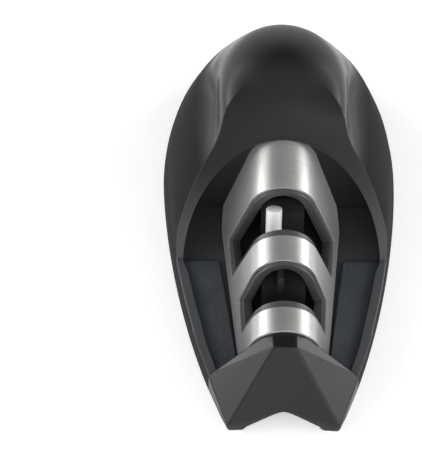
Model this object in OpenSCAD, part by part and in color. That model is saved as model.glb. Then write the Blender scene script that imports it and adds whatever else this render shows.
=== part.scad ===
// Two-stage pull-through knife sharpener with a palm handle.
// A black moulded body has a domed handle at the back, an arched recess in front of it and a
// low rimmed deck. A steel-clad column runs down the middle and holds both sharpening slots.
// The origin is the middle of the footprint, on the surface that the feet stand on.
// X runs across the body, +Y towards the handle, +Z up. Blades are pulled along Y.

/* [Body] */
// Length of the body, nose to tail
body_len = 156; // [140:1:180]
// Width of the body at its widest
body_w = 74.8; // [68:0.2:84]
// Height of the top of the handle above the table
body_h = 60; // [54:0.5:70]
// Thickness of the moulded walls
wall = 2.4; // [1.8:0.1:3]
// Height of the deck between the rims
deck_z = 10; // [9:0.5:12]
// Height of the rim above the deck
rim_rise = 2; // [1:0.25:3]
// Width of the top of the rim
rim_w = 2.2; // [1.6:0.1:3]
// Height of the rim where it meets the nose
rim_nose_z = 4; // [3.5:0.25:6]

/* [Handle] */
// Height of the lip over the arched recess
lip_z = 42.6; // [40:0.2:44]
// Place of the lip along the body
lip_y = 0.2; // [-2:0.1:3]
// Distance by which the foot of the arched wall lies in front of the lip
lip_overhang = 24.7; // [21:0.1:27]
// Distance from the lip back to the upright wall at the rear of the recess
recess_back = 0.6; // [0.3:0.1:1.5]
// Half width of the arched recess at the deck
recess_half_w = 31; // [29:0.25:32]

/* [Column] */
// Length of the column in front of the lip
column_len = 60.3; // [56:0.1:64]
// Length of the column behind the lip
column_tail = 5.4; // [4:0.1:7]
// Height of the ridge under the lip
ridge_z = 41; // [39:0.2:42]
// Slope of the ridge, degrees
ridge_slope = 15; // [12:0.5:17]
// Radius of the ridge under the lip
ridge_r_rear = 13.4; // [11:0.1:14]
// Radius of the ridge at its nose end
ridge_r_front = 10.3; // [9:0.1:11]
// Half width of the column's foot under the lip
foot_half_rear = 19.4; // [18:0.1:20]
// Half width of the column's foot at its nose end
foot_half_front = 13; // [12:0.1:14]
// Thickness of the steel cover
sheet = 0.8; // [0.5:0.1:1]
// Thickness of the walls of the inner frame
frame_wall = 2.6; // [2:0.1:3]

/* [Slots] */
// Distance from the lip to the first slot, as a share of the column's length
slot_1_start_share = 0.265; // [0.25:0.005:0.28]
// Length of the first slot, as a share of the column's length
slot_1_len_share = 0.25; // [0.235:0.005:0.26]
// Height of the rear end of the first slot's sill
slot_1_sill_rear = 18; // [17:0.25:19]
// Height of the front end of the first slot's sill
slot_1_sill_front = 15.5; // [14.5:0.25:17]
// Distance from the lip to the second slot, as a share of the column's length
slot_2_start_share = 0.653; // [0.64:0.001:0.66]
// Length of the second slot, as a share of the column's length
slot_2_len_share = 0.23; // [0.22:0.005:0.235]
// Height of the rear end of the second slot's sill
slot_2_sill_rear = 14.2; // [13.5:0.1:15]
// Height of the front end of the second slot's sill
slot_2_sill_front = 13; // [12.5:0.1:14]
// Run of a slot's rear wall from its top edge to the sill
slot_lean = 2.6; // [2:0.1:3]
// Width of the frame's edge that shows inside the cover's slots
slot_ledge = 0.9; // [0.5:0.1:1.2]

/* [Sharpening elements] */
// Angle of each element from upright, degrees
v_angle = 20; // [17:0.5:22]
// Diameter of a ceramic rod
rod_d = 4.8; // [4:0.1:5]
// Distance between the axes of the two rods across the body
rod_pitch = 5.3; // [5.2:0.1:6]
// Height of the point where the axes of the rods cross
rod_cross_z = 12.6; // [12:0.1:14]
// Length of a ceramic rod, as a share of the height from that crossing to the ridge
rod_len_share = 0.9; // [0.8:0.01:0.92]
// Thickness of a carbide plate
plate_t = 1.7; // [1.4:0.1:2]
// Width of a carbide plate, as a share of the second slot's length
plate_w_share = 0.43; // [0.38:0.01:0.44]
// Gap between the two carbide plates across the body
plate_gap = 0.2; // [0.1:0.05:0.5]
// Height of the bottom of the second slot's seat
plate_cross_z = 9.4; // [9:0.1:10]
// Length of a carbide plate, as a share of the height from that bottom to the ridge
plate_len_share = 0.78; // [0.7:0.01:0.79]
// Distance by which a carbide plate stands out of its seat
plate_reach = 2; // [1.5:0.1:2.5]
// Half width of the blocks that hold the elements
holder_half_w = 6.4; // [6:0.1:7]

/* [Deck panels] */
// Thickness of a deck panel
panel_t = 1.2; // [0.8:0.1:1.5]
// Distance from the lip to the rear edge of the panels
panel_start = 22.2; // [21:0.1:24]
// Distance from the front edge of the panels to the column's end
panel_end = 1.6; // [1:0.1:4]
// Distance by which a panel's outer edge runs on, as a share of the nose's length
panel_rake_share = 0.31; // [0.24:0.01:0.38]
// Width of the groove between a panel and its neighbours
groove_w = 1; // [0.6:0.1:1.5]

/* [Nose] */
// Half width of the ridge's flat end at the top of the nose
nose_top_half = 3.1; // [2.5:0.1:4]
// Drop of the nose's top edge below the end of the ridge
nose_drop = 1.2; // [0.8:0.1:2]
// Distance from the column's end to that edge, as a share of the nose's length
nose_run_share = 0.24; // [0.2:0.01:0.28]
// Half width of the nose at the table
nose_foot_half = 15.4; // [14.5:0.1:15.8]
// Height of the notch under the nose's front edge
notch_h = 4.6; // [3:0.1:6]
// Depth of that notch, as a share of the nose's length
notch_share = 0.7; // [0.4:0.05:0.9]
// Radius of the nose's edges
nose_edge_r = 0.8; // [0.5:0.1:1]

/* [Base and fasteners] */
// Thickness of the base plate
base_t = 2.4; // [2:0.1:3]
// Height of the feet under the body
foot_h = 2; // [1.5:0.1:2.6]
// Width of a rubber foot
foot_w = 4.2; // [4:0.1:6]
// Length of a rubber foot
foot_len = 12; // [10:0.5:14]
// Distance from the front of the nose to its feet
foot_setback = 1.7; // [1.5:0.1:2.5]
// Depth to which a foot is let into the base plate
foot_sink = 1; // [0.5:0.1:1.2]
// Diameter of a screw's thread
screw_d = 3; // [2.5:0.1:3]
// Diameter of a screw's head
screw_head_d = 5.4; // [5:0.1:5.6]
// Height of a screw's head
screw_head_h = 1.4; // [1.2:0.1:1.5]
// Length of a screw under its head
screw_len = 8; // [7:0.5:9]
// Outer diameter of a boss of the shell
boss_d = 7; // [6.5:0.1:8]
// Diameter of the screws that clamp the carbide plates
clamp_d = 2; // [1.6:0.1:2.2]
// Diameter of the heads of the clamping screws
clamp_head_d = 3.4; // [3:0.1:3.6]

/* [Hidden] */
$fn = 64;

// Clearances and overruns
fit_gap = 0.1;
over = 1;
skin = 0.01;

// Colours
BLACK = [0.11, 0.115, 0.12];
DECK_BLACK = [0.2, 0.205, 0.21];
STEEL = [0.78, 0.78, 0.76];
CERAMIC = [0.95, 0.95, 0.94];
CARBIDE = [0.35, 0.35, 0.36];
RUBBER = [0.07, 0.07, 0.07];
ZINC = [0.6, 0.61, 0.62];

// Places along the body, worked out from the sizes above
front_y = -body_len / 2;
wide_y_share = 0.615;
wide_y = front_y + wide_y_share * body_len;
back_reach = body_len / 2 - wide_y;
front_reach_share = 1.21;
front_reach = front_reach_share * (wide_y - front_y);
lean_foot_y = lip_y - lip_overhang;
lean_angle = atan2(lip_z - deck_z, lip_overhang);
recess_y = lip_y + recess_back;
column_front = lip_y - column_len;
column_rear = lip_y + column_tail;
base_top = foot_h + base_t;
rim_z = deck_z + rim_rise;
frame_inset = sheet + fit_gap;

// Height of the ridge at a place along the body
function ridge_at(y) = ridge_z + (y - lip_y) * tan(ridge_slope);

// The nose, in front of the column
nose_len = column_front - front_y;
nose_top_y = column_front - nose_run_share * nose_len;
nose_top_z = ridge_at(column_front) - nose_drop;
front_foot_x = nose_foot_half - nose_edge_r - foot_w / 2;
notch_half = front_foot_x - foot_w / 2 - 3 * fit_gap;
panel_rake = panel_rake_share * nose_len;
nose_rear_half = foot_half_front + panel_rake;
panel_proud = panel_t / 4;

// The slots, and the elements in them
slot_1_start = slot_1_start_share * column_len;
slot_1_len = slot_1_len_share * column_len;
slot_1_mid = lip_y - slot_1_start - slot_1_len / 2;
slot_2_start = slot_2_start_share * column_len;
slot_2_len = slot_2_len_share * column_len;
slot_2_mid = lip_y - slot_2_start - slot_2_len / 2;
rod_foot = fit_gap;
rod_len = rod_len_share * (ridge_at(slot_1_mid) - rod_cross_z);
plate_w = plate_w_share * slot_2_len;
plate_len = plate_len_share * (ridge_at(slot_2_mid) - plate_cross_z);
plate_foot = plate_w / 2;
clamp_head_h = clamp_d / 2;
holder_1_half = slot_1_len / 2 + frame_wall;
holder_2_half = slot_2_len / 2 + plate_w - plate_reach;
inner_r = ridge_r_front - sheet - frame_wall;
holder_drop = inner_r - sqrt(inner_r * inner_r - holder_half_w * holder_half_w) + 2 * fit_gap;

// Screws, their bosses and the feet
boss_cap = 2;
boss_h = screw_len + boss_cap;
frame_boss_d = screw_d * 2;
frame_boss_inset = frame_inset + frame_wall / 2 + frame_boss_d / 2;
side_screw_share = 0.8;
tail_screw_share = 0.42;
tail_screw_y_share = 0.715;
rear_foot_share = 0.62;
rear_foot_y_share = 0.5;

// Rings of the body from its foot to the top of the handle:
// height, half width, reach to the rear and reach to the front, as shares of the height above
// the feet, of half the width, of the rear reach and of the front reach, and the roundness of
// the front half
ring_shares = [
    [0.000, 0.975, 0.985, 0.993, 1.6],
    [0.020, 1.000, 1.000, 1.000, 1.6],
    [0.100, 0.984, 0.982, 0.996, 1.6],
    [0.172, 0.958, 0.948, 0.988, 1.6],
    [0.241, 0.934, 0.910, 1.000, 1.6],
    [0.310, 0.901, 0.860, 1.030, 1.6],
    [0.379, 0.856, 0.804, 1.060, 1.6],
    [0.448, 0.797, 0.742, 1.000, 1.6],
    [0.517, 0.727, 0.674, 0.730, 2.0],
    [0.578, 0.657, 0.616, 0.515, 2.5],
    [0.605, 0.605, 0.590, 0.345, 3.5],
    [0.655, 0.553, 0.536, 0.207, 3.5],
    [0.700, 0.538, 0.490, 0.168, 3.5],
    [0.724, 0.530, 0.466, 0.153, 3.0],
    [0.793, 0.500, 0.410, 0.137, 2.5],
    [0.862, 0.438, 0.336, 0.112, 2.2],
    [0.914, 0.356, 0.258, 0.087, 2.0],
    [0.957, 0.246, 0.168, 0.058, 2.0],
    [0.986, 0.134, 0.088, 0.031, 2.0],
    [1.000, 0.000, 0.000, 0.000, 2.0]
];
ring_steps = 72;
rim_ring = ring_shares[3];

// A point of a ring with the given half width, reaches and roundness, at angle t
function ring_power(v, n) = sign(v) * pow(abs(v), 2 / n);
function ring_point(t, half_w, rear, front, n) =
    sin(t) >= 0
        ? [half_w * cos(t), wide_y + rear * sin(t)]
        : [half_w * ring_power(cos(t), n), wide_y + front * ring_power(sin(t), n)];
function ring_outline(half_w, rear, front, n) =
    [for (i = [0 : ring_steps - 1]) ring_point(360 * i / ring_steps, half_w, rear, front, n)];

// One ring of the body, drawn in by a wall thickness all round
function body_ring(shares, inset) =
    let (
        half_w = max(skin, shares[1] * body_w / 2 - inset),
        rear = max(skin, shares[2] * back_reach - inset),
        front = max(skin, shares[3] * front_reach - inset),
        z = foot_h + shares[0] * (body_h - foot_h - inset)
    )
    [for (p = ring_outline(half_w, rear, front, shares[4])) [p.x, p.y, z]];

// The whole body as a solid, before its front is cut down
module body_loft(inset) {
    rings = [for (s = ring_shares) body_ring(s, inset)];
    count = len(rings);
    points = [for (r = rings) each r];
    sides = [
        for (k = [0 : count - 2], i = [0 : ring_steps - 1])
            let (
                a = k * ring_steps + i,
                b = k * ring_steps + (i + 1) % ring_steps,
                c = a + ring_steps,
                d = b + ring_steps
            )
            each [[a, d, b], [a, c, d]]
    ];
    bottom = [for (i = [0 : ring_steps - 1]) i];
    top = [for (i = [ring_steps - 1 : -1 : 0]) (count - 1) * ring_steps + i];
    polyhedron(points = points, faces = concat([bottom], sides, [top]));
}

// Upright arch of the column at one end, drawn in by inset, with its foot at foot_z
module arch_slice(y, r, foot_half, inset, foot_z) {
    apex = ridge_at(y) - inset;
    translate([0, y, 0])
        rotate([90, 0, 0])
            linear_extrude(height = skin, center = true) {
                translate([0, apex - (r - inset)])
                    intersection() {
                        circle(r = r - inset);
                        translate([-r, 0])
                            square([2 * r, r]);
                    }
                polygon([
                    [-foot_half + inset, foot_z],
                    [foot_half - inset, foot_z],
                    [foot_half - inset, deck_z],
                    [r - inset, apex - (r - inset)],
                    [-r + inset, apex - (r - inset)],
                    [-foot_half + inset, deck_z]
                ]);
            }
}

// The column from its tail to its nose end, drawn in by inset
module column_solid(inset, foot_z, rear_y, front_y) {
    reach = column_rear - column_front;
    function along(y) = (y - column_front) / reach;
    function r_at(y) = ridge_r_front + along(y) * (ridge_r_rear - ridge_r_front);
    function foot_at(y) = foot_half_front + along(y) * (foot_half_rear - foot_half_front);
    hull() {
        arch_slice(rear_y - skin / 2, r_at(rear_y), foot_at(rear_y), inset, foot_z);
        arch_slice(front_y + skin / 2, r_at(front_y), foot_at(front_y), inset, foot_z);
    }
}

// Half width of the column's foot at a place along the body
function foot_half_at(y) =
    foot_half_front
    + (y - column_front) / (column_rear - column_front) * (foot_half_rear - foot_half_front);

// Side outline of a slot, grown by ledge, drawn across the whole column
module slot_cut(start, length, sill_rear, sill_front, ledge) {
    rear = lip_y - start - ledge;
    front = lip_y - start - length + ledge;
    top = body_h;
    rise = top - sill_rear;
    drop = ridge_at(rear) - sill_rear;
    rotate([90, 0, 90])
        linear_extrude(height = body_w, center = true)
            polygon([
                [front, sill_front + ledge],
                [rear - slot_lean, sill_rear + ledge],
                [rear + slot_lean * (rise / drop - 1), top],
                [front, top]
            ]);
}

module both_slots(ledge) {
    slot_cut(slot_1_start, slot_1_len, slot_1_sill_rear, slot_1_sill_front, ledge);
    slot_cut(slot_2_start, slot_2_len, slot_2_sill_rear, slot_2_sill_front, ledge);
}

// Everything in front of the leaning wall and above the rims
module front_space() {
    far = body_len;
    rotate([90, 0, 90])
        linear_extrude(height = body_w + 2 * over, center = true)
            polygon([
                [-far, rim_z],
                [lean_foot_y + rim_rise / tan(lean_angle), rim_z],
                [lip_y, lip_z],
                [-far, lip_z]
            ]);
}

// Arched space cut level into the leaning wall, back to an upright wall behind the lip
module recess_space() {
    arc = [for (t = [0 : 5 : 180]) [recess_half_w * cos(t), (lip_z - deck_z) * sin(t)]];
    translate([0, recess_y, deck_z])
        rotate([90, 0, 0])
            linear_extrude(height = body_len)
                polygon(arc);
}

// Plan of the deck between the rims
module deck_plan(inset) {
    half_w = rim_ring[1] * body_w / 2 - inset;
    front = rim_ring[3] * front_reach - inset;
    intersection() {
        polygon(ring_outline(half_w, back_reach, front, rim_ring[4]));
        translate([-body_w / 2, front_y - over])
            square([body_w, lean_foot_y - front_y + over]);
    }
}

// Wedge that takes the rims down towards the nose
module rim_drop() {
    start = nose_top_y;
    rotate([90, 0, 90])
        linear_extrude(height = body_w + 2 * over, center = true)
            polygon([
                [start, rim_z],
                [start, body_h],
                [front_y - over, body_h],
                [front_y - over, rim_nose_z]
            ]);
}

// Half width of the body's plan at the rim, at a place in front of the widest point
function rim_half_at(y) =
    let (
        half_w = rim_ring[1] * body_w / 2,
        front = rim_ring[3] * front_reach,
        n = rim_ring[4]
    )
    half_w * pow(1 - pow((wide_y - y) / front, n), 1 / n);

// Plan of the space that the nose fills, grown by a gap
module nose_plan(gap) {
    rear_half = nose_rear_half + gap;
    front_half = nose_foot_half + gap;
    polygon([
        [-rear_half, column_front],
        [-rear_half, nose_top_y],
        [-front_half, front_y - over],
        [front_half, front_y - over],
        [rear_half, nose_top_y],
        [rear_half, column_front]
    ]);
}

// Rounded post of the nose, from its flat bottom up to top_z
module nose_post(x, y, top_z) {
    r = nose_edge_r;
    translate([x, y, foot_h])
        cylinder(r = r, h = top_z - r - foot_h, $fn = 24);
    translate([x, y, top_z - r])
        sphere(r = r, $fn = 24);
}

// The nose as one block, from the column's end to the front edge
module nose_block() {
    r = nose_edge_r;
    hull() {
        arch_slice(column_front - skin, ridge_r_front, foot_half_front, 0, foot_h);
        for (side = [-1, 1]) {
            nose_post(side * (nose_top_half - r), nose_top_y + r, nose_top_z);
            nose_post(side * (nose_foot_half - r), front_y + r + fit_gap, rim_nose_z);
            nose_post(side * (nose_rear_half - r), nose_top_y, deck_z);
        }
    }
}

// The notch under the nose's front edge
module nose_notch() {
    depth = notch_share * nose_len;
    translate([0, front_y + depth, foot_h])
        rotate([90, 0, 0])
            linear_extrude(height = depth + over)
                polygon([[-notch_half, 0], [notch_half, 0], [0, notch_h]]);
}

// Screws and their holes, standing on the underside of their heads and pointing up
module screw() {
    translate([0, 0, -screw_head_h])
        cylinder(d = screw_head_d, h = screw_head_h);
    cylinder(d = screw_d, h = screw_len);
}

module screw_hole() {
    translate([0, 0, -base_t])
        cylinder(d = screw_d + 3 * fit_gap, h = 2 * base_t);
    translate([0, 0, -base_t])
        cylinder(d = screw_head_d + 3 * fit_gap, h = base_t);
}

// The hole that a screw cuts its thread in, from the foot of a boss
module pilot() {
    translate([0, 0, -over])
        cylinder(d = screw_d + fit_gap, h = screw_len + over);
}

// A rubber foot seen from above, grown by a gap
module foot_plan(gap) {
    half = (foot_len - foot_w) / 2;
    for (y = [-half, half])
        translate([0, y])
            circle(d = foot_w + 2 * gap);
    square([foot_w + 2 * gap, 2 * half], center = true);
}

// Plan of the panel on the side given by the sign, grown by a gap
module panel_plan(side, gap) {
    rear = lip_y - panel_start + gap;
    front = column_front + panel_end;
    outer_front = front - panel_rake;
    inner_rear = foot_half_at(rear) + groove_w - gap;
    inner_front = foot_half_at(front) + groove_w - gap;
    polygon([
        [side * inner_rear, rear],
        [side * (rim_half_at(rear) - rim_w - groove_w + gap), rear],
        [side * (rim_half_at(outer_front) - rim_w - groove_w + gap), outer_front - gap],
        [side * inner_front, front - gap]
    ]);
}

// Top of a holder at a place along the body
function holder_top(y) = ridge_at(y) - sheet - frame_wall - holder_drop;

// Block that carries one pair of elements, with a vee across it
module holder_block(middle, half_len, low_z) {
    rear = middle + half_len;
    front = middle - half_len;
    vee_top = body_h;
    vee_half = (vee_top - low_z) * tan(v_angle);
    difference() {
        rotate([90, 0, 90])
            linear_extrude(height = 2 * holder_half_w, center = true)
                polygon([
                    [front, base_top],
                    [rear, base_top],
                    [rear, holder_top(rear)],
                    [front, holder_top(front)]
                ]);
        rotate([90, 0, 90])
            linear_extrude(height = 2 * holder_half_w + 2 * over, center = true)
                polygon([
                    [middle, low_z],
                    [middle + vee_half, vee_top],
                    [middle - vee_half, vee_top]
                ]);
    }
}

// Puts what is drawn upright at the foot of a vee onto its rear wall (lean 1) or front wall
module on_vee(middle, low_z, lean, x) {
    translate([x, middle, low_z])
        rotate([-lean * v_angle, 0, 0])
            children();
}

// Distance by which the front element of a pair is seated lower, under the falling ridge
function seat_drop(lean, slot_len) = lean > 0 ? 0 : slot_len * sin(ridge_slope);

module rod(lean, gap) {
    on_vee(slot_1_mid, rod_cross_z, lean, -lean * rod_pitch / 2)
        translate([0, 0, rod_foot - gap - seat_drop(lean, slot_1_len)])
            cylinder(d = rod_d + 2 * gap, h = rod_len + gap + (gap > 0 ? over : 0));
}

module plate(lean, gap) {
    x = -lean * (plate_gap + plate_t) / 2;
    depth = plate_w - plate_reach;
    foot = plate_foot - gap - seat_drop(lean, slot_2_len);
    on_vee(slot_2_mid, plate_cross_z, lean, x)
        translate([-plate_t / 2 - gap, (lean > 0 ? -plate_reach : -depth) - gap, foot])
            cube([plate_t + 2 * gap, plate_w + 2 * gap, plate_len + 2 * gap]);
}

// What is drawn along X, placed through the middle of a plate's seat
module at_clamp(lean) {
    middle = plate_foot - seat_drop(lean, slot_2_len) + plate_len / 2;
    on_vee(slot_2_mid, plate_cross_z, lean, 0)
        translate([0, lean * (plate_w - plate_reach) / 2, middle])
            rotate([0, -lean * 90, 0])
                children();
}

// Places of the screws and feet
base_screw_places = [
    for (side = [-1, 1])
        each [
            [side * side_screw_share * body_w / 2, wide_y],
            [side * tail_screw_share * body_w / 2, wide_y + tail_screw_y_share * back_reach]
        ]
];
core_screw_places = [
    for (y = [column_rear - 2 * boss_d, (slot_1_mid - holder_1_half + slot_2_mid + holder_2_half) / 2])
        for (side = [-1, 1])
            [side * (foot_half_at(y) - frame_boss_inset), y]
];
foot_places = [
    for (side = [-1, 1])
        each [
            [side * front_foot_x, front_y + foot_setback + foot_len / 2],
            [side * rear_foot_share * body_w / 2, wide_y + rear_foot_y_share * back_reach]
        ]
];

module body_shell() {
    color(BLACK)
        difference() {
            union() {
                difference() {
                    body_loft(0);
                    front_space();
                    rim_drop();
                    translate([0, 0, deck_z])
                        linear_extrude(height = body_h)
                            deck_plan(rim_w);
                    recess_space();
                    difference() {
                        body_loft(wall);
                        translate([-body_w, -2 * body_len, deck_z - wall])
                            cube([2 * body_w, 2 * body_len + recess_y + wall, body_h]);
                        translate([-body_w, -body_len, 0])
                            cube([2 * body_w, body_len + column_front, body_h]);
                    }
                    translate([0, 0, -over])
                        linear_extrude(height = body_h)
                            nose_plan(fit_gap);
                    translate([-body_w, -2 * body_len, -over])
                        cube([2 * body_w, 2 * body_len + front_y, body_h]);
                }
                for (p = base_screw_places)
                    translate([p.x, p.y, base_top + fit_gap])
                        cylinder(d = boss_d, h = boss_h);
            }
            column_solid(-fit_gap, deck_z, column_rear + fit_gap, column_front - over);
            column_solid(sheet, foot_h, column_rear + fit_gap, column_front - over);
            for (side = [-1, 1])
                translate([0, 0, deck_z - panel_t + panel_proud])
                    linear_extrude(height = rim_rise)
                        panel_plan(side, fit_gap);
            for (p = base_screw_places)
                translate([p.x, p.y, base_top])
                    pilot();
        }
}

module base_plate() {
    first = ring_shares[0];
    inset = wall + fit_gap;
    color(BLACK)
        difference() {
            translate([0, 0, foot_h])
                linear_extrude(height = base_t)
                    intersection() {
                        polygon(ring_outline(first[1] * body_w / 2 - inset,
                            first[2] * back_reach - inset, first[3] * front_reach - inset, first[4]));
                        translate([-body_w, column_front + fit_gap])
                            square([2 * body_w, body_len]);
                    }
            for (p = concat(base_screw_places, core_screw_places))
                translate([p.x, p.y, foot_h + screw_head_h + fit_gap])
                    screw_hole();
            for (p = foot_places)
                translate([p.x, p.y, 0])
                    linear_extrude(height = foot_h + foot_sink)
                        foot_plan(fit_gap);
        }
}

module deck_panel(side) {
    color(DECK_BLACK)
        translate([0, 0, deck_z - panel_t + panel_proud])
            linear_extrude(height = panel_t)
                panel_plan(side, 0);
}

module deck_panel_left() deck_panel(-1);
module deck_panel_right() deck_panel(1);

module nose() {
    color(BLACK)
        difference() {
            nose_block();
            nose_notch();
            for (p = foot_places)
                translate([p.x, p.y, 0])
                    linear_extrude(height = foot_h + foot_sink)
                        foot_plan(fit_gap);
        }
}

module core_frame() {
    color(BLACK)
        difference() {
            union() {
                difference() {
                    column_solid(frame_inset, base_top, column_rear, column_front);
                    column_solid(frame_inset + frame_wall, base_top - over,
                        column_rear - frame_wall, column_front + frame_wall);
                }
                for (p = core_screw_places)
                    translate([p.x, p.y, base_top])
                        cylinder(d = frame_boss_d, h = boss_h);
            }
            both_slots(slot_ledge);
            for (p = core_screw_places)
                translate([p.x, p.y, base_top])
                    pilot();
        }
}

module steel_cover() {
    color(STEEL)
        difference() {
            column_solid(0, deck_z, column_rear, column_front);
            column_solid(sheet, deck_z - over, column_rear + over, column_front - over);
            both_slots(0);
        }
}

module ceramic_holder() {
    color(BLACK)
        difference() {
            holder_block(slot_1_mid, holder_1_half, rod_cross_z);
            rod(1, fit_gap / 2);
            rod(-1, fit_gap / 2);
        }
}

module ceramic_rod_rear() color(CERAMIC) rod(1, 0);
module ceramic_rod_front() color(CERAMIC) rod(-1, 0);

module carbide_holder() {
    color(BLACK)
        difference() {
            holder_block(slot_2_mid, holder_2_half, plate_cross_z);
            for (lean = [-1, 1]) {
                plate(lean, fit_gap / 2);
                at_clamp(lean) {
                    cylinder(d = clamp_d + fit_gap, h = holder_half_w + over);
                    translate([0, 0, holder_half_w - clamp_head_h])
                        cylinder(d = clamp_head_d + 2 * fit_gap, h = clamp_head_h + over);
                }
            }
        }
}

module carbide_plate(lean) {
    color(CARBIDE)
        difference() {
            plate(lean, 0);
            at_clamp(lean)
                cylinder(d = clamp_d + fit_gap, h = holder_half_w);
        }
}

module carbide_plate_rear() carbide_plate(1);
module carbide_plate_front() carbide_plate(-1);

module carbide_screws() {
    color(ZINC)
        for (lean = [-1, 1])
            at_clamp(lean) {
                translate([0, 0, plate_gap / 2])
                    cylinder(d = clamp_d, h = holder_half_w - plate_gap);
                translate([0, 0, holder_half_w - clamp_head_h])
                    cylinder(d = clamp_head_d, h = clamp_head_h - fit_gap);
            }
}

module core_screws() {
    color(ZINC)
        for (p = core_screw_places)
            translate([p.x, p.y, foot_h + screw_head_h + fit_gap])
                screw();
}

module base_screws() {
    color(ZINC)
        for (p = base_screw_places)
            translate([p.x, p.y, foot_h + screw_head_h + fit_gap])
                screw();
}

module foot_pads() {
    color(RUBBER)
        for (p = foot_places)
            translate([p.x, p.y, 0])
                linear_extrude(height = foot_h + foot_sink)
                    foot_plan(0);
}

body_shell();
base_plate();
deck_panel_left();
deck_panel_right();
nose();
core_frame();
steel_cover();
ceramic_holder();
ceramic_rod_rear();
ceramic_rod_front();
carbide_holder();
carbide_plate_rear();
carbide_plate_front();
carbide_screws();
core_screws();
base_screws();
foot_pads();
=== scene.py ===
"""Looks of a two-stage pull-through knife sharpener with a domed palm handle.

Lengths are in millimetres while a piece is made, and turn to metres when it is finished.
X runs across the body, +Y towards the handle, +Z up, and blades are drawn along Y.
"""

import logging
import math
from collections.abc import Callable, Sequence
from dataclasses import dataclass
from enum import Enum

import bmesh
import bpy
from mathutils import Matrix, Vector


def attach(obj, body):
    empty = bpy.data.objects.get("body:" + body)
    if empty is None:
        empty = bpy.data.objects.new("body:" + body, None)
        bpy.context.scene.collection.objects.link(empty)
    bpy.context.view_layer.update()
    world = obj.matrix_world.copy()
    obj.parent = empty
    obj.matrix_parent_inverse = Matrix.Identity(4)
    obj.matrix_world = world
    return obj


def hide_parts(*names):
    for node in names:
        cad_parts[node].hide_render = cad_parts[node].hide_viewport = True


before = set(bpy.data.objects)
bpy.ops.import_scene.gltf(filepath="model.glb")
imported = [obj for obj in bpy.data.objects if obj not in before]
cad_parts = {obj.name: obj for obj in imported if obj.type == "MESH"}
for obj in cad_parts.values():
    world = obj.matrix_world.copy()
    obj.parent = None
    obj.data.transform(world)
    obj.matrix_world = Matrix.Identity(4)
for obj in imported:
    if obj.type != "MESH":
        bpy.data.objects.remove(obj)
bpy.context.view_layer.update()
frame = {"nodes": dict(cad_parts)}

MM = 0.001
BODY = "root"

# Distances in millimetres: points to weld, a point on an edge, equal heights, one point
WELD, NEAR, LEVEL, HAIR = 0.004, 0.02, 0.01, 0.001

# Degrees by which two faces of one flat facet may differ
FLAT_TURN = 3

# Layers of finer noise and their strength, in the grain and in the clouds
GRAIN_LAYERS, CLOUD_LAYERS = (2.0, 0.55), (3.0, 0.5)

# Weight of each of the two patterns in a shade, and the shades that the roughness spans
PATTERN_WEIGHT = 0.5
SHADE_LOW, SHADE_HIGH = 0.25, 0.75

# Degrees from the lip of the dome to its top
TO_TOP = 90

# Sockets of a Mix node, for colours and for numbers
COLOUR_A, COLOUR_B, COLOUR_MIXED = 6, 7, 2
NUMBER_A, NUMBER_B, NUMBER_MIXED = 2, 3, 0

log = logging.getLogger("sharpener")

Place = tuple[float, float, float]
Spot = tuple[float, float]


def blend(low: float, high: float, share: float) -> float:
    """Goes from low to high as share goes from 0 to 1."""
    return low + (high - low) * share


def ease(low: float, high: float, value: float) -> float:
    """Rises smoothly from 0 at low to 1 at high."""
    share = min(1.0, max(0.0, (value - low) / (high - low)))
    return share * share * (3 - 2 * share)


def halves(across: float) -> tuple[int, float]:
    """Side of a share of the way across, 1 and then -1, and how far in from its end it lies."""
    return (1 if across < 0.5 else -1), 1 - abs(2 * across - 1)


class Fair:
    """A smooth curve through a few stations that doesn't overshoot between them."""

    def __init__(self, stations: Sequence[Spot]) -> None:
        """Works out a slope for each station.

        Args:
            stations: Pairs of place and value, in rising order of place.
        """
        self.at = [s[0] for s in stations]
        self.value = [s[1] for s in stations]
        steps = [
            (self.value[i + 1] - self.value[i]) / (self.at[i + 1] - self.at[i])
            for i in range(len(stations) - 1)
        ]
        middle = [
            0.0 if a * b <= 0 else 2 * a * b / (a + b) for a, b in zip(steps, steps[1:])
        ]
        self.slope = [steps[0], *middle, steps[-1]]

    def __call__(self, at: float) -> float:
        """Reads the curve, which stays level past its ends.

        Args:
            at: The place.

        Returns:
            The curve's value there.
        """
        if at <= self.at[0]:
            return self.value[0]
        if at >= self.at[-1]:
            return self.value[-1]
        i = max(k for k in range(len(self.at) - 1) if self.at[k] <= at)
        run = self.at[i + 1] - self.at[i]
        t = (at - self.at[i]) / run
        rise = self.value[i + 1] - self.value[i]
        a = self.slope[i] * run - rise
        b = rise - self.slope[i + 1] * run
        return self.value[i] + rise * t + t * (1 - t) * (a * (1 - t) + b * t)


def srgb(code: str) -> tuple[float, float, float, float]:
    """Turns a colour written as a hex code into linear values.

    Args:
        code: Six hex digits, such as "2b2d2f".

    Returns:
        Red, green, blue and a full alpha, in linear light.
    """
    parts = [int(code[i : i + 2], 16) / 255 for i in (0, 2, 4)]
    linear = [c / 12.92 if c <= 0.04045 else ((c + 0.055) / 1.055) ** 2.4 for c in parts]
    return (linear[0], linear[1], linear[2], 1.0)


def add_node(
    tree: bpy.types.NodeTree, kind: str, settings: dict | None = None, inputs: dict | None = None
) -> bpy.types.Node:
    """Adds one shader node, with its settings and its inputs.

    Args:
        tree: The node tree that gets the node.
        kind: The node's Blender type, such as "ShaderNodeBump".
        settings: The node's own properties by name.
        inputs: Values or output sockets by the name or number of the input.

    Returns:
        The new node.
    """
    node = tree.nodes.new(kind)
    for name, value in (settings or {}).items():
        setattr(node, name, value)
    for name, value in (inputs or {}).items():
        if isinstance(value, bpy.types.NodeSocket):
            tree.links.new(value, node.inputs[name])
        else:
            node.inputs[name].default_value = value
    return node


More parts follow.
